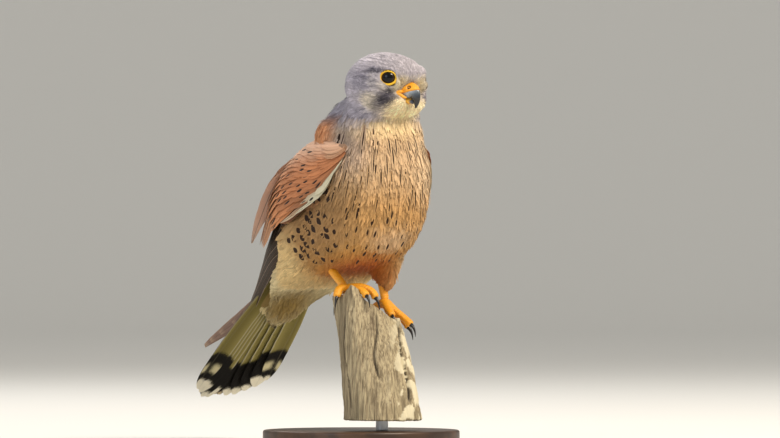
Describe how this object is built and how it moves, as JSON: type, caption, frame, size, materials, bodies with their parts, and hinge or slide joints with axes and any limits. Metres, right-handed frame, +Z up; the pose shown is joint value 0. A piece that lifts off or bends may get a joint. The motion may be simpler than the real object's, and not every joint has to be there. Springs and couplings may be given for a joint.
{
  "type": "common kestrel",
  "caption": "Life-size still model of a male common kestrel gripping the top of a broken branch stub on a plain display stand.",
  "frame": {"origin": "centre of the underside of the stand's base", "axes": "+Z up; the bird faces -Y with its left side at +X, and its tail hangs towards +Y"},
  "size_m": [0.128, 0.2475, 0.2544],
  "materials": {
    "plumage_grey": "soft blue-grey feathers",
    "plumage_buff": "buff feathers with dark streaks and spots",
    "cere_skin": "smooth yellow skin",
    "bill": "blue-grey horn, black at the tip",
    "tail_feather": "pale tail feathers with a broad black band",
    "eye": "wet dark brown",
    "plumage_rufous": "brick-red feathers with black drop spots",
    "flight_feather": "dark brown flight feathers with pale edges",
    "leg_skin": "orange-yellow scaled skin",
    "claw": "black horn",
    "weathered_wood": "grey weathered bark-less wood",
    "stand_metal": "brushed steel",
    "stand_wood": "dark oiled wood"
  },
  "bodies": {
    "root": {"head": "plumage_grey", "neck": "plumage_grey", "torso": "plumage_buff", "cere": "cere_skin", "bill_upper": "bill", "bill_lower": "bill", "tail": "tail_feather", "eye_right": "eye", "wing_right": "plumage_rufous", "primaries_right": "flight_feather", "eye_left": "eye", "wing_left": "plumage_rufous", "primaries_left": "flight_feather", "thigh_right": "plumage_buff", "tarsus_right": "leg_skin", "foot_right": "leg_skin", "claw_middle_right": "claw", "claw_inner_right": "claw", "claw_outer_right": "claw", "claw_hind_right": "claw", "thigh_left": "plumage_buff", "tarsus_left": "leg_skin", "foot_left": "leg_skin", "claw_middle_left": "claw", "claw_inner_left": "claw", "claw_outer_left": "claw", "claw_hind_left": "claw", "perch": "weathered_wood", "stand_rod": "stand_metal", "stand_base": "stand_wood"}
  },
  "joints": []
}
